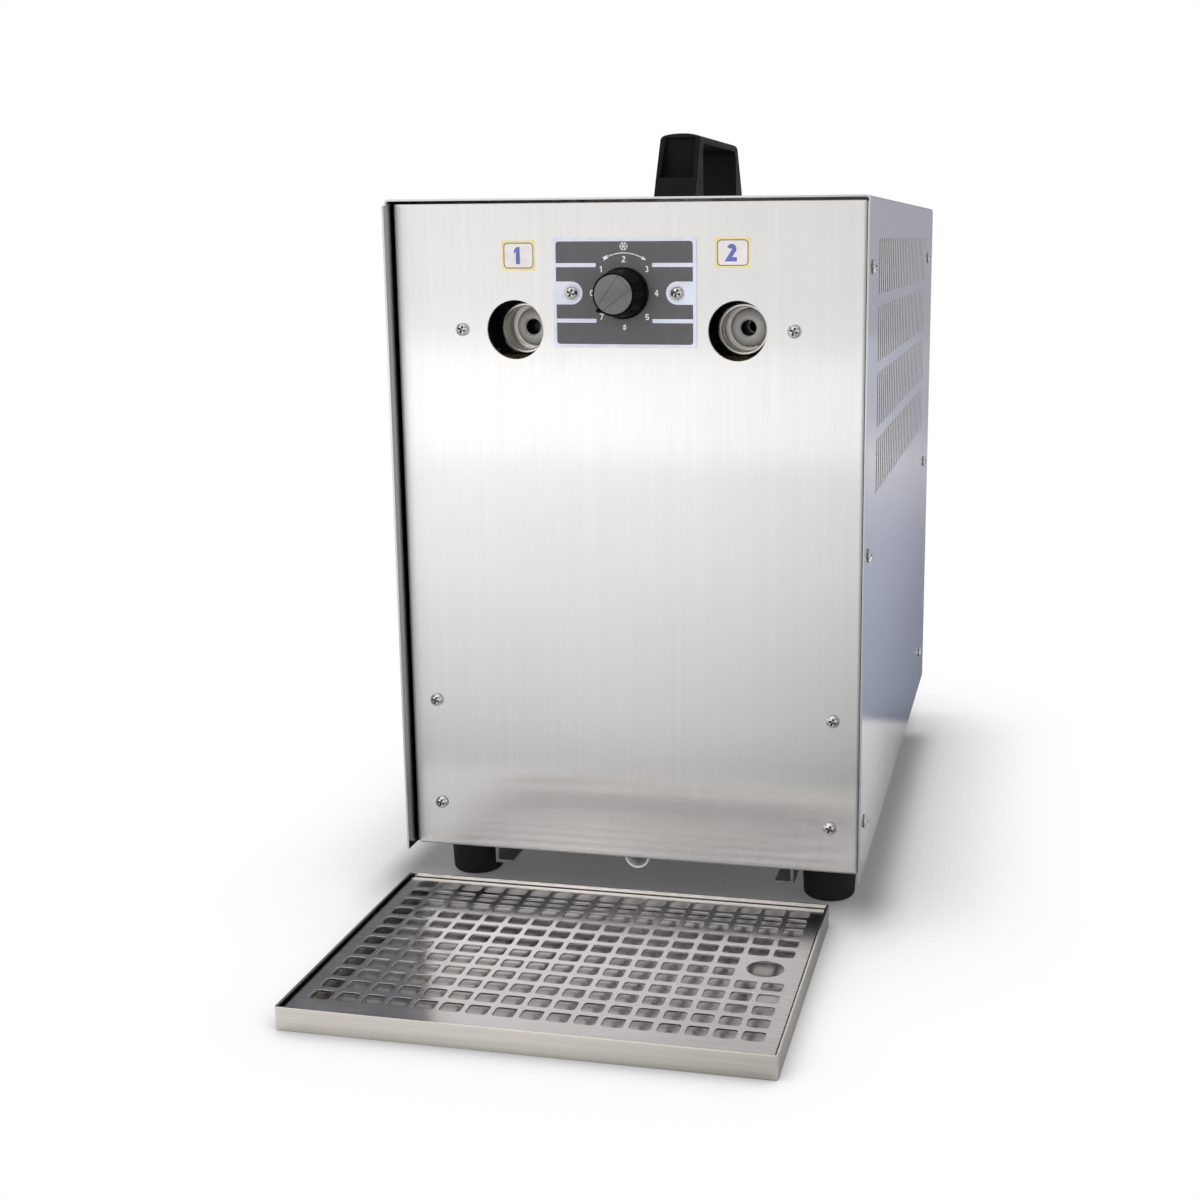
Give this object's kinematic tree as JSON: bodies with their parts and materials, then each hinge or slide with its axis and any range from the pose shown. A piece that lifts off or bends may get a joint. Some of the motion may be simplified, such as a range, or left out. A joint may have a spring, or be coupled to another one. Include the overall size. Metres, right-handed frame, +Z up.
{
  "type": "dry beer line cooler",
  "caption": "Countertop dry beer line cooler: slotted steel case with tap ports, thermostat dial, carry handle, rubber feet and a loose drip tray with a punched grille.",
  "frame": {"origin": "bottom centre of the box round the cooler and its tray at rest, on the worktop", "axes": "+Z up, -Y out of the front with the tap ports, +X to the right as seen from the front"},
  "size_m": [0.295, 0.7164, 0.4845],
  "materials": {
    "steel_pan": "satin sheet",
    "steel_panel": "vertical brushed grain",
    "steel_cover": "smooth satin sheet",
    "steel_tray": "brushed sheet",
    "steel_grille": "brushed punched sheet",
    "black_plastic": "fine moulded grain",
    "grey_plastic": "satin",
    "white_plastic": "moulded",
    "rubber": "dull",
    "bright_screw": "bright zinc",
    "dial_face": "printed face",
    "turned_steel": "turned and polished",
    "cast_aluminium": "as cast",
    "foam": "foamed polyurethane",
    "black_enamel": "black enamel",
    "copper": "drawn copper"
  },
  "bodies": {
    "cooler": {"base_pan": "steel_pan", "port_bridge": "steel_pan", "condenser_frame": "steel_pan", "fan_strap": "steel_pan", "runner_left": "steel_pan", "runner_right": "steel_pan", "front_panel": "steel_panel", "rear_panel": "steel_panel", "wrap_cover": "steel_cover", "carry_handle": "black_plastic", "fan_shroud": "black_plastic", "cable_gland": "black_plastic", "thermostat": "white_plastic", "relay_cover": "white_plastic", "drain_spout": "white_plastic", "foot_front_left": "rubber", "foot_front_right": "rubber", "foot_rear_left": "rubber", "foot_rear_right": "rubber", "compressor_grommets": "rubber", "handle_screws": "bright_screw", "foot_screws": "bright_screw", "front_panel_screws": "bright_screw", "cover_screws": "bright_screw", "rear_panel_screws": "bright_screw", "dial_plate_screws": "bright_screw", "dial_plate": "dial_face", "tap_socket_1": "turned_steel", "tap_socket_2": "turned_steel", "tap_nose_1": "turned_steel", "tap_nose_2": "turned_steel", "socket_nut_1": "turned_steel", "socket_nut_2": "turned_steel", "inlet_stub_1": "turned_steel", "inlet_stub_2": "turned_steel", "inlet_nut_1": "turned_steel", "inlet_nut_2": "turned_steel", "outlet_line_1": "turned_steel", "outlet_line_2": "turned_steel", "inlet_line_1": "turned_steel", "inlet_line_2": "turned_steel", "cold_block": "cast_aluminium", "condenser_fins": "cast_aluminium", "foam_box": "foam", "foam_lid": "foam", "compressor": "black_enamel", "fan_motor": "black_enamel", "discharge_line": "copper", "suction_line": "copper", "liquid_line": "copper", "filter_drier": "copper", "condenser_coil": "copper"},
    "knob": {"knob": "black_plastic", "knob_cap": "grey_plastic", "thermostat_spindle": "turned_steel"},
    "fan": {"fan_rotor": "white_plastic"},
    "tray": {"drip_tray": "steel_tray"},
    "grille": {"drip_grille": "steel_grille", "grille_edges": "steel_grille"}
  },
  "joints": [
    {"name": "knob_turn", "type": "hinge", "parent": "cooler", "child": "knob", "pos_m": [0, -0.17175, 0.3842], "axis": [0, -1, 0], "range_deg": [0, 315]},
    {"name": "fan_spin", "type": "hinge", "parent": "cooler", "child": "fan", "pos_m": [0, 0.25505, 0.1655], "axis": [0, 1, 0], "continuous": true},
    {"name": "tray_pull", "type": "slide", "parent": "cooler", "child": "tray", "axis": [0, -1, 0], "range_m": [0, 0.15]},
    {"name": "grille_lift", "type": "slide", "parent": "tray", "child": "grille", "axis": [0, 0, 1], "range_m": [0, 0.02]}
  ]
}
